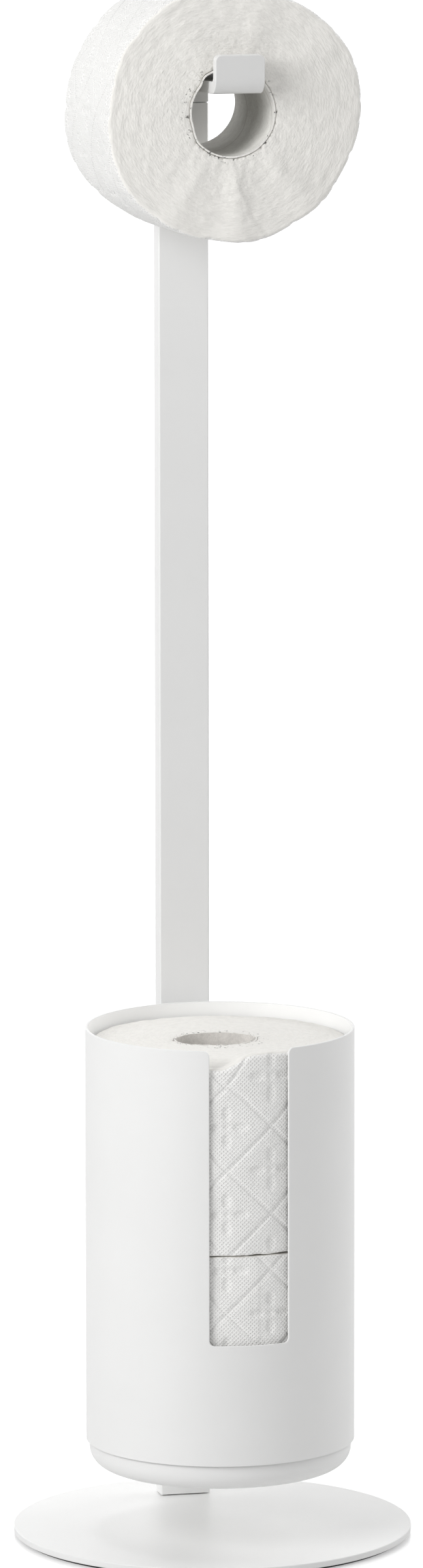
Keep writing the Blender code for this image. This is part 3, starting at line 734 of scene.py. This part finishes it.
def make_shell():
    """Cut flat, given its thickness and soft edges, then rolled and welded at the back."""
    size = sizes()
    steps = 288
    shape = bmesh.new()
    shell_radius = SHELL_RADIUS + size.shell_growth
    half_sheet = math.pi * shell_radius
    pulled(shape, [outline_face(shape, sheet_outline())], (0, size.shell_wall, 0))
    bmesh.ops.recalc_face_normals(shape, faces=shape.faces)

    def on_join(vert):
        return abs(abs(vert.co.x) - half_sheet) < WELD

    cut_edges = [e for e in shape.edges
                 if e.calc_face_angle(0) > math.radians(60)
                 and not all(on_join(v) for v in e.verts)
                 and abs(e.verts[0].co.y - e.verts[1].co.y) < WELD]
    rounded(shape, cut_edges, size.shell_edge, 4)
    joins = [f for f in shape.faces if all(on_join(v) for v in f.verts)]
    bmesh.ops.delete(shape, geom=joins, context="FACES_ONLY")
    for step in range(1, steps):
        place = -half_sheet + 2 * half_sheet * step / steps
        geometry = shape.verts[:] + shape.edges[:] + shape.faces[:]
        bmesh.ops.bisect_plane(shape, geom=geometry, dist=WELD, plane_co=(place, 0, 0),
                               plane_no=(1, 0, 0))
    for vert in shape.verts:
        angle = vert.co.x / shell_radius
        radius = shell_radius - vert.co.y
        vert.co = Vector((radius * math.sin(angle), SHELL_AXIS.y - radius * math.cos(angle),
                          vert.co.z))
    bmesh.ops.remove_doubles(shape, verts=shape.verts, dist=WELD)
    bmesh.ops.recalc_face_normals(shape, faces=shape.faces)
    # inner faces get the coat painted lighter, as painted light inside the hollow
    for face in shape.faces:
        middle = face.calc_center_median() - SHELL_AXIS
        face.material_index = int(middle.xy.length < shell_radius - size.shell_wall + WELD)
    coated("container_shell", shape, "coat_on_container", "coat_in_container")


def make_dish():
    size = sizes()
    edge, wall = size.dish_edge, size.dish_wall
    radius = SHELL_RADIUS + size.shell_growth - size.shell_wall - size.seat_gap
    foot = DISH_LOW.z - size.dish_drop
    bend = (radius - edge, foot + edge)
    profile = [(0, foot + wall), (radius / 2, foot + wall)]
    profile += arc(bend, edge - wall, -QUARTER_TURN, 0, 8)
    profile += [(radius - wall, DISH_HIGH.z), (radius, DISH_HIGH.z)]
    profile += arc(bend, edge, 0, -QUARTER_TURN, 16)
    profile += [(radius / 2, foot), (0, foot)]
    shape = turn_profile(profile, WIDE_STEPS)
    bmesh.ops.translate(shape, verts=shape.verts, vec=SHELL_AXIS)
    coated("container_bottom", shape, "coat_on_container")


def socketed(shape, head_top):
    """A screw with the hexagonal socket cut into its head."""
    size = sizes()
    cutter = bmesh.new()
    depth = size.hex_depth + OVER
    middle = head_top - size.hex_depth + depth / 2
    bmesh.ops.create_cone(cutter, cap_ends=True, segments=6, radius1=size.hex_socket,
                          radius2=size.hex_socket, depth=depth)
    bmesh.ops.translate(cutter, verts=cutter.verts, vec=(0, 0, middle))
    return carved(shape, cutter)


def make_button_screw(node):
    """A domed head against the post's back, with its shank through the wall."""
    size = sizes()
    head, shank = size.screw_head, size.screw_shank
    low, high = node_box(node)
    head_height = high.y - (POST_HIGH.y + size.seat_gap)
    reach = POST_HIGH.y + size.seat_gap - low.y
    profile = [(0, head_height)]
    profile += arc((0, 0), head, QUARTER_TURN, 0, 10, rise=head_height)[1:]
    profile += [(shank, 0), (shank, SCREW_TIP - reach), (shank - SCREW_TIP, -reach), (0, -reach)]
    shape = socketed(turn_profile(profile, SCREW_STEPS), head_height)
    plated(node, shape, (0, POST_HIGH.y + size.seat_gap, (low.z + high.z) / 2), -QUARTER_TURN)


def make_countersunk_screw(node):
    """A flat head flush with the plate's underside."""
    head, shank = sizes().screw_head, sizes().screw_shank
    low, high = node_box(node)
    length = high.z - low.z
    rim = 0.0002
    profile = [(0, 0), (head - rim, 0), (head, -rim), (shank, -COUNTERSINK),
               (shank, SCREW_TIP - length), (shank - SCREW_TIP, -length), (0, -length)]
    shape = socketed(turn_profile(profile, SCREW_STEPS), 0)
    plated(node, shape, ((low.x + high.x) / 2, (low.y + high.y) / 2, low.z), HALF_TURN)


# Paper rolls

# Unevenness of the paper and the board: its height, and how fast it changes round and along
SLOW_SWELL = (0.00025, 5, 60)
SIDE_FUZZ = (0.00012, 60, 900)
SAW_MARKS = (0.00030, 9, 260)
SAW_FUZZ = (0.00012, 30, 1200)
TUFTS = (1, 14, 1)
BOARD_SWELL = (0.00010, 2.5, 40)
BOARD_RAG = (0.00035, 7, 1)

# How far in a detail of a roll fades, in metres: its side's pattern, its face's dome, its slipped
# layers, and the curl and the squeeze of its core's mouth
SIDE_FADE = 0.0022
DOME_FADE = 0.018
SLIP_FADE = 0.024
CURL_FADE = 0.004
MOUTH_FADE = 0.022


def smoothstep(value, low, high):
    share = max(0.0, min(1.0, (value - low) / (high - low)))
    return share * share * (3 - 2 * share)


def ripple(kind, angle, depth, seed):
    """Noise of a kind on a cylinder, the same at both ends of the turn."""
    tall, swing, reach = kind
    spot = Vector((math.cos(angle) * swing, math.sin(angle) * swing, depth * reach + seed))
    return tall * noise.noise(spot)


def groove(distance, width):
    """1 in the middle of a pressed line and 0 away from it."""
    return math.exp(-(distance / width) ** 2)


def angle_between(angle, other):
    """How far an angle lies past another one, between minus and plus half a turn."""
    return (angle - other + math.pi) % FULL_TURN - math.pi


def pressed_pattern(along_turn, height, cell_width, cell_height):
    """Crossing diagonal lines with four petals and a dot in each diamond; 1 is deepest."""
    line_width, dot_width = 0.0008, 0.0014
    petal_out, petal_length, petal_width = 0.0066, 0.0036, 0.0019
    across, up = along_turn / cell_width, height / cell_height
    rising = abs((across + up + 0.5) % 1 - 0.5)
    falling = abs((across - up + 0.5) % 1 - 0.5)
    slope = 1 / math.hypot(1 / cell_width, 1 / cell_height)
    deepest = max(groove(rising * slope, line_width), groove(falling * slope, line_width))
    for shift in (0.0, 0.5):
        x = abs((across + shift) % 1 - 0.5) * cell_width
        y = abs((up + 0.5 + shift) % 1 - 0.5) * cell_height
        along, aside = max(x, y), min(x, y)
        petal = math.hypot((along - petal_out) / petal_length, aside / petal_width)
        dot = groove(math.hypot(x, y), dot_width)
        deepest = max(deepest, 1 - smoothstep(petal, 0.6, 1.2), dot)
    pillow = (math.cos(FULL_TURN * (across + up)) + math.cos(FULL_TURN * (across - up))) / 4 + 0.5
    return deepest, 1 - pillow


def roll_profile(bore, radius, length, edges, side_points, end_points):
    """A roll's section: up the bore, out over the far end, down the side and back."""
    far_edge, near_edge = edges
    lip, lip_height, start = 0.00015, 0.0002, 0.0006
    back_points = end_points // 2
    far_span = radius - far_edge - bore - start
    near_span = radius - near_edge - bore - start
    straight = length - far_edge - near_edge
    profile = [(bore, length * share) for share in (0.02, 0.35, 0.65, 0.98)]
    profile += [(bore + lip, length - lip_height)]
    profile += [(bore + start + far_span * step / end_points, length)
                for step in range(end_points + 1)]
    profile += arc((radius - far_edge, length - far_edge), far_edge, QUARTER_TURN, 0, 6)[1:]
    profile += [(radius, near_edge + straight * (1 - step / side_points))
                for step in range(1, side_points)]
    profile += arc((radius - near_edge, near_edge), near_edge, 0, -QUARTER_TURN, 6)
    profile += [(bore + start + near_span * (1 - step / back_points), 0)
                for step in range(1, back_points + 1)]
    return profile + [(bore + lip, lip_height)]


def fold_height(angle, out, bore, radius, folds):
    """Soft radial folds on a roll's end, and one sharp crease that runs to the edge."""
    reach = smoothstep(out, bore, bore + 0.012)
    height = sum(tall * reach * groove(angle_between(angle, middle), spread)
                 for middle, spread, tall in folds)
    share = (out - bore) / (radius - bore)
    wander = 0.0006 * math.sin(out * 420)
    aside = angle_between(angle, math.radians(-88 + 14 * share)) * out + wander
    ridge = 0.00018 * groove(aside + 0.0010, 0.0012)
    valley = 0.00010 * groove(aside - 0.0008, 0.0012)
    return height + ridge - valley


def unevenness(lumps, angle):
    """A roll's slow swell at an angle, from (waves round the roll, height, start angle)."""
    return sum(tall * math.cos(waves * (angle - start)) for waves, tall, start in lumps)


def round_sizes(node, along):
    """Middle, radius and length of a packed round solid, whose axis has the direction along."""
    low, high = node_box(node)
    middle = (low + high) / 2
    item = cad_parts[node]
    spots = [item.matrix_world @ vert.co - middle for vert in item.data.vertices]
    heights = [spot.dot(along) for spot in spots]
    radius = max((spot - along * height).length for spot, height in zip(spots, heights))
    return middle, radius, max(heights) - min(heights)


def mouth_curl(angle, height, length, pressed):
    """How far a core's cut edge curls in: at the top on the left, at the foot on the lower side."""
    soft_curl, pressed_curl, foot_curl = 0.0012, 0.0019, 0.0011
    top_depth, foot_depth = 0.0045, 0.0080
    top = soft_curl * max(0.0, -math.cos(angle - 0.3))
    if pressed:
        turn = math.degrees(angle) % 360
        top = pressed_curl * smoothstep(turn, 123, 141) * (1 - smoothstep(turn, 196, 226))
    top *= smoothstep(height, length - top_depth, length)
    foot = smoothstep(-height, -foot_depth, 0.0) * max(0.0, -math.sin(angle))
    return top + foot_curl * foot


def squeezed(spot, share, mouth):
    """A spot near the bore, moved as the top of the core is pressed aside and out of round."""
    aside, back, flat = mouth
    return Vector((spot.x + share * aside, spot.y * (1 - share * flat) + share * back, spot.z))


def slipped_layers(angle, out, radius):
    """How far the outer layers of a top sink at the front's left and stand up at its right."""
    turn = math.degrees(angle) + 90
    sunk, raised = 0.0027, 0.0044
    rise = (sunk + raised) * smoothstep(turn, -13.5, 3) - sunk
    fade = smoothstep(turn, -42, -20) * (1 - smoothstep(turn, 22, 48))
    return rise * fade * smoothstep(out, radius - 0.016, radius - 0.002)


def side_relief(size, angle, height, radius, cell_width, sheet_end, seed):
    """What the pressed lines, the outermost sheet's end and a fine grain do to a roll's side."""
    lines, hollow = pressed_pattern(angle * radius, height + seed, cell_width, size.emboss_cell)
    pressed = size.emboss_depth * (lines + 0.7 * hollow)
    tooth_height, tooth_pitch = 0.0003, 0.0042
    teeth = tooth_height * math.sin(height * FULL_TURN / tooth_pitch) / radius
    turns = ((angle - sheet_end + teeth) / FULL_TURN) % 1
    step = size.sheet_step * smoothstep(turns, 0.0, 0.0035) * (1 - turns)
    return ripple(SIDE_FUZZ, angle, height, seed) - pressed - step


def ragged_end(angle, out, bore, seed):
    """What the saw and the frayed inner layers do to a roll's end."""
    rough = ripple(SAW_MARKS, angle, out, seed + 3) + ripple(SAW_FUZZ, angle, out, seed + 5)
    frayed = 1 - smoothstep(out, bore + 0.0001, bore + 0.0016)
    tufts = max(0.0, ripple(TUFTS, angle, 0, seed + 8) - 0.12)
    least, tuft_length = 0.0001, 0.0022
    return rough - frayed * (least + tuft_length * tufts)


def make_roll(prefix, turn, edges, lumps, folds, mouth, sheet_end, board_painted_light, seed, slipped=False):
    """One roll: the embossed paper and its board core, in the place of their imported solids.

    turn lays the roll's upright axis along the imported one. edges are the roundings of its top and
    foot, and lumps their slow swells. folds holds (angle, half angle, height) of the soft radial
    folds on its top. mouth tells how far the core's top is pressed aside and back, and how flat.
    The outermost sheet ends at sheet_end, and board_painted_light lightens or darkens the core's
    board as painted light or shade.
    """
    size, shades = sizes(), colours()
    along = turn.col[2].xyz
    middle, radius, length = round_sizes(prefix + "_paper", along)
    core_outer, core_length = round_sizes(prefix + "_core", along)[1:]
    place = Matrix.Translation(middle - along * (length / 2)) @ turn
    half = length / 2
    inset = (length - core_length) / 2
    bore = core_outer + size.core_seam
    pressed = bool(folds)
    side_points, end_points, steps = (100, 44, 400) if folds else (140, 24, 480)
    profile = roll_profile(bore, radius, length, edges, side_points, end_points)
    shape = turn_profile(profile, steps, ring=True)
    cell_width = FULL_TURN * radius / round(FULL_TURN * radius / size.emboss_cell)
    top_lumps, foot_lumps = lumps

    for vert in shape.verts:
        out = vert.co.xy.length
        angle = math.atan2(vert.co.y, vert.co.x)
        height = vert.co.z
        share = height / length
        swell = share * unevenness(top_lumps, angle) + (1 - share) * unevenness(foot_lumps, angle)
        swell += ripple(SLOW_SWELL, angle, height, seed)
        on_side = smoothstep(out, radius - SIDE_FADE, radius - 0.0001)
        if on_side > 0:
            swell += on_side * side_relief(size, angle, height, radius, cell_width, sheet_end, seed)
        end, edge = (1, edges[0]) if height > half else (-1, edges[1])
        near_end = smoothstep(abs(height - half), half - edge - 0.001, half - 0.0004)
        rise = 0.0
        if near_end > 0:
            rag = ragged_end(angle, out, bore, seed)
            if end > 0 and folds:
                rag += fold_height(angle, out, bore, radius, folds)
            rise = near_end * (rag - 0.0002)
        if folds:
            domed = size.face_dome * (out / radius) ** 2
            rise -= domed * smoothstep(height, length - DOME_FADE, length - edges[0])
        if slipped:
            near_top = smoothstep(height, length - SLIP_FADE, length - 0.002)
            rise += near_top * slipped_layers(angle, out, radius)
        curl = mouth_curl(angle, height, length, pressed)
        curl *= 1 - smoothstep(out, bore + 0.0002, bore + CURL_FADE)
        out_new = out + smoothstep(out, bore + 0.002, radius - 0.001) * swell - curl
        spot = Vector((out_new * math.cos(angle), out_new * math.sin(angle), height + end * rise))
        near_bore = 1 - smoothstep(out, bore, bore + MOUTH_FADE)
        vert.co = squeezed(spot, near_bore * smoothstep(share, 0.2, 1.0), mouth)

    wound = shape.loops.layers.uv.new("wound")
    for face in shape.faces:
        middle = face.calc_center_median()
        in_bore = middle.xy.length < bore + 0.001
        face.material_index = int(abs(face.normal.z) > 0.75 or in_bore)
        middle_angle = math.atan2(middle.y, middle.x)
        for loop in face.loops:
            spot = loop.vert.co
            aside = angle_between(math.atan2(spot.y, spot.x), middle_angle)
            loop[wound].uv = ((middle_angle + aside) * radius, spot.z)
    bmesh.ops.transform(shape, matrix=place, verts=shape.verts)
    end_paper = wound_paper_end(prefix + "_paper_end", shades.paper_cut, place, bore)
    # the side paper is painted darker on the hook and lighter in the container, as shade and light
    side_paper = finish_named("paper_on_hook" if folds else "paper_in_container")
    piece(prefix + "_tissue", shape, prefix, [side_paper, end_paper], prefix + "_paper",
          crease=180, weighted=False)

    inner = core_outer - size.core_wall
    rings = 36
    profile = [(core_outer, core_length * (1 - step / 4)) for step in range(5)]
    profile += [(inner, core_length * step / rings) for step in range(rings + 1)]
    core = turn_profile(profile, 160, ring=True)
    for vert in core.verts:
        angle = math.atan2(vert.co.y, vert.co.x)
        height = vert.co.z
        out = vert.co.xy.length + ripple(BOARD_SWELL, angle, height, seed + 11)
        out = min(out, core_outer) - mouth_curl(angle, height, core_length, pressed)
        if height > core_length * 0.99:
            height += 0.0003 + ripple(BOARD_RAG, angle, 0, seed + 13)
        spot = Vector((out * math.cos(angle), out * math.sin(angle), height + inset))
        vert.co = squeezed(spot, smoothstep(height / core_length, 0.2, 1.0), mouth)
    bmesh.ops.transform(core, matrix=place, verts=core.verts)
    # board_painted_light makes the board's colour lighter or darker as painted light or shade
    board = core_board(prefix + "_core_board", shade(shades.board, board_painted_light), place)
    core.normal_update()
    for face in core.faces:
        face.material_index = int(abs(face.normal.dot(along)) > 0.8)
    piece(prefix + "_core_tube", core, prefix, [board, end_paper], prefix + "_core",
          crease=45)


# Operators

class HOLDER_OT_base(bpy.types.Operator):
    """Make the coated base plate"""
    bl_idname = "holder.base"
    bl_label = "Base Plate"

    def execute(self, context):
        make_plate()
        return {"FINISHED"}


class HOLDER_OT_post(bpy.types.Operator):
    """Make the post and the hook on top of it"""
    bl_idname = "holder.post"
    bl_label = "Post and Hook"

    def execute(self, context):
        make_post()
        make_hook()
        return {"FINISHED"}


class HOLDER_OT_container(bpy.types.Operator):
    """Make the rolled container and its dished bottom"""
    bl_idname = "holder.container"
    bl_label = "Container"

    def execute(self, context):
        make_shell()
        make_dish()
        return {"FINISHED"}


class HOLDER_OT_screws(bpy.types.Operator):
    """Make the screws at the back and under the base"""
    bl_idname = "holder.screws"
    bl_label = "Screws"

    def execute(self, context):
        for node in BACK_SCREWS:
            make_button_screw(node)
        for node in FOOT_SCREWS:
            make_countersunk_screw(node)
        return {"FINISHED"}


class HOLDER_OT_hanging_roll(bpy.types.Operator):
    """Make the roll on the hook"""
    bl_idname = "holder.hanging_roll"
    bl_label = "Hanging Roll"

    def execute(self, context):
        size = sizes()
        front_lumps = ((0, 0.0010, 0), (1, 0.0019, -0.35), (2, 0.00086, 0.67), (3, 0.00045, 0.25),
                       (4, 0.00065, 0.42), (5, 0.00023, 0.19), (6, 0.0002, -0.49),
                       (3, 0.0003, -0.17), (11, 0.00025, -1.344))
        back_lumps = ((0, 0.0019, 0), (1, 0.00067, -0.42), (1, 0.0008, 2.6), (2, 0.0011, 0.42),
                      (3, 0.00016, 0.57), (4, 0.00088, 0.37), (6, 0.0002, 0.41))
        folds = tuple((math.radians(angle), math.radians(spread), tall) for angle, spread, tall in (
            (-86, 7, 0.0016), (-50, 8, 0.0012), (-16, 10, 0.0006), (-118, 8, 0.0009),
            (72, 8, 0.0007), (34, 8, 0.0008), (118, 10, 0.0005), (176, 12, 0.0004)))
        turn = (Matrix.Rotation(-size.roll_skew, 4, "Z")
                @ Matrix.Rotation(QUARTER_TURN - size.arm_slope, 4, "X"))
        # the hanging roll's core board is painted 5 % lighter as light
        make_roll("hanging_roll", turn, edges=(0.0024, 0.0018), lumps=(front_lumps, back_lumps),
                  folds=folds, mouth=(0.0001, 0, 0), sheet_end=math.radians(75), board_painted_light=1.05,
                  seed=0.37)
        return {"FINISHED"}


class HOLDER_OT_spare_rolls(bpy.types.Operator):
    """Make the two rolls in the container"""
    bl_idname = "holder.spare_rolls"
    bl_label = "Spare Rolls"

    def execute(self, context):
        upright = Matrix.Identity(4)
        lumps = ((0, 0.0020, 0), (2, 0.0002, 0.4), (3, 0.00015, 1.1), (5, 0.0001, 0.2))
        # the spare rolls' core boards are painted 8 % darker as shade in their hollow cores
        make_roll("spare_roll_lower", upright, edges=(0.0009, 0.0012), lumps=(lumps, lumps),
                  folds=(), mouth=(0, 0, 0), sheet_end=math.radians(-86), board_painted_light=0.92,
                  seed=1.93)
        lumps = ((0, 0.0020, 0), (2, 0.0002, 1.2), (3, 0.00015, 0.3), (5, 0.0001, 0.9))
        make_roll("spare_roll_upper", upright, edges=(0.0026, 0.0009), lumps=(lumps, lumps),
                  folds=(), mouth=(-0.0023, 0.0014, 0.2), sheet_end=math.radians(-72),
                  board_painted_light=0.92, seed=2.71, slipped=True)
        return {"FINISHED"}


class HOLDER_OT_kept_solids(bpy.types.Operator):
    """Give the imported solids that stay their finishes"""
    bl_idname = "holder.kept_solids"
    bl_label = "Kept Solids"

    def execute(self, context):
        finishes = {
            "base_pad": "foam_pad",
            "container_floor": "moulded_floor",
            "container_bracket": "coat_on_container",
            "foot_block": "screw_steel",
            "post_sleeve_upper": "screw_steel",
            "post_sleeve_lower": "screw_steel",
        }
        for node, finish in finishes.items():
            for material_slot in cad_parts[node].material_slots:
                material_slot.material = finish_named(finish)
        return {"FINISHED"}


class HOLDER_OT_stage(bpy.types.Operator):
    """Make the pale floor, the soft light and the camera"""
    bl_idname = "holder.stage"
    bl_label = "Stage"

    def execute(self, context):
        make_floor()
        make_lights()
        make_studio()
        make_camera()
        return {"FINISHED"}


def make_floor():
    shape = bmesh.new()
    bmesh.ops.create_grid(shape, x_segments=4, y_segments=4, size=40)
    mesh = mesh_of("studio_floor", shape)
    mesh.materials.append(studio_floor("pale_floor", colours().floor, studio().floor_glow))
    new_object("studio_floor", mesh)


def make_lights():
    """Three round soft lights, each with its power, width, azimuth and elevation."""
    settings = studio()
    aim_at, distance = Vector((0, 0, 0.35)), 2.6
    lamps = (("key_light", settings.key_power, settings.key_size, -61, 26),
             ("side_light", settings.side_power, settings.key_size, 105, 32),
             ("top_light", settings.top_power, settings.key_size / 3, -120, 84))
    for name, power, width, azimuth, elevation in lamps:
        light = bpy.data.lights.new(name, "AREA")
        light.shape = "DISK"
        light.size = width
        light.energy = power
        lamp = new_object(name, light)
        round_z = Matrix.Rotation(math.radians(azimuth), 3, "Z")
        away = round_z @ Matrix.Rotation(math.radians(-elevation), 3, "X") @ Vector((0, -1, 0))
        lamp.location = aim_at + away * distance
        lamp.rotation_euler = (-away).to_track_quat("-Z", "Y").to_euler()


def make_studio():
    """The pale room round the holder, brighter behind it, seen as plain white."""
    settings = studio()
    scene = bpy.context.scene
    scene.view_settings.view_transform = "Standard"
    scene.world = bpy.data.worlds.new("studio")
    scene.world.use_nodes = True
    tree = scene.world.node_tree
    direction = tree.nodes.new("ShaderNodeTexCoord").outputs["Generated"]
    up = add_node(tree, "ShaderNodeSeparateXYZ", {0: direction}).outputs[2]
    side = vectors(tree, "DOT_PRODUCT", direction, (0.62, 0.78, 0))
    behind = ramp_between(tree, side, (-0.2, 0.6), (settings.sky_front, settings.sky_back))
    above = ramp_between(tree, up, (0.1, 1.0), (0.0, settings.sky_top))
    fading = ramp_between(tree, up, (0.4, 0.9), (1.0, 0.3))
    glow = maths(tree, "MAXIMUM", maths(tree, "MULTIPLY", behind, fading), above)
    seen = tree.nodes.new("ShaderNodeLightPath").outputs["Is Camera Ray"]
    set_inputs(tree.nodes["Background"], {
        "Color": (1, 1, 1, 1), "Strength": maths(tree, "MAXIMUM", glow, seen)})


def make_camera():
    settings = studio()
    camera = bpy.data.cameras.new("studio_camera")
    camera.lens = settings.lens
    camera.sensor_width = 36
    camera.sensor_fit = "AUTO"
    camera.clip_end = 100
    camera.dof.use_dof = False
    item = new_object("studio_camera", camera)
    turn = settings.turn
    item.location = (settings.distance * math.sin(turn), -settings.distance * math.cos(turn),
                     PLATE_HIGH.z + settings.height)
    aim = (Matrix.Rotation(turn, 3, "Z") @ Matrix.Rotation(QUARTER_TURN - settings.pitch, 3, "X")
           @ Matrix.Rotation(settings.roll, 3, "Z"))
    item.rotation_euler = aim.to_euler()
    bpy.context.scene.camera = item


class HOLDER_PT_panel(bpy.types.Panel):
    """Lists the holder's parts, sizes and colours"""
    bl_idname = "HOLDER_PT_panel"
    bl_label = "Toilet Paper Holder"
    bl_space_type = "VIEW_3D"
    bl_region_type = "UI"
    bl_category = "Holder"

    def draw(self, context):
        column = self.layout.column(align=True)
        for operator in OPERATORS:
            column.operator(operator.bl_idname)
        for group in (sizes(), colours(), studio()):
            box = self.layout.box()
            for name in group.bl_rna.properties.keys():
                if name not in ("rna_type", "name"):
                    box.prop(group, name)


OPERATORS = (HOLDER_OT_base, HOLDER_OT_post, HOLDER_OT_container, HOLDER_OT_screws,
             HOLDER_OT_hanging_roll, HOLDER_OT_spare_rolls, HOLDER_OT_kept_solids, HOLDER_OT_stage)
CLASSES = (HolderSizes, HolderColours, StudioSettings, *OPERATORS, HOLDER_PT_panel)


def register():
    for item in CLASSES:
        bpy.utils.register_class(item)
    bpy.types.Scene.holder_sizes = bpy.props.PointerProperty(type=HolderSizes)
    bpy.types.Scene.holder_colours = bpy.props.PointerProperty(type=HolderColours)
    bpy.types.Scene.holder_studio = bpy.props.PointerProperty(type=StudioSettings)


def unregister():
    del bpy.types.Scene.holder_studio
    del bpy.types.Scene.holder_colours
    del bpy.types.Scene.holder_sizes
    for item in reversed(CLASSES):
        bpy.utils.unregister_class(item)


def main():
    register()
    bpy.ops.holder.base()
    bpy.ops.holder.post()
    bpy.ops.holder.container()
    bpy.ops.holder.screws()
    bpy.ops.holder.hanging_roll()
    bpy.ops.holder.spare_rolls()
    bpy.ops.holder.kept_solids()
    bpy.ops.holder.stage()


if __name__ == "__main__":
    main()
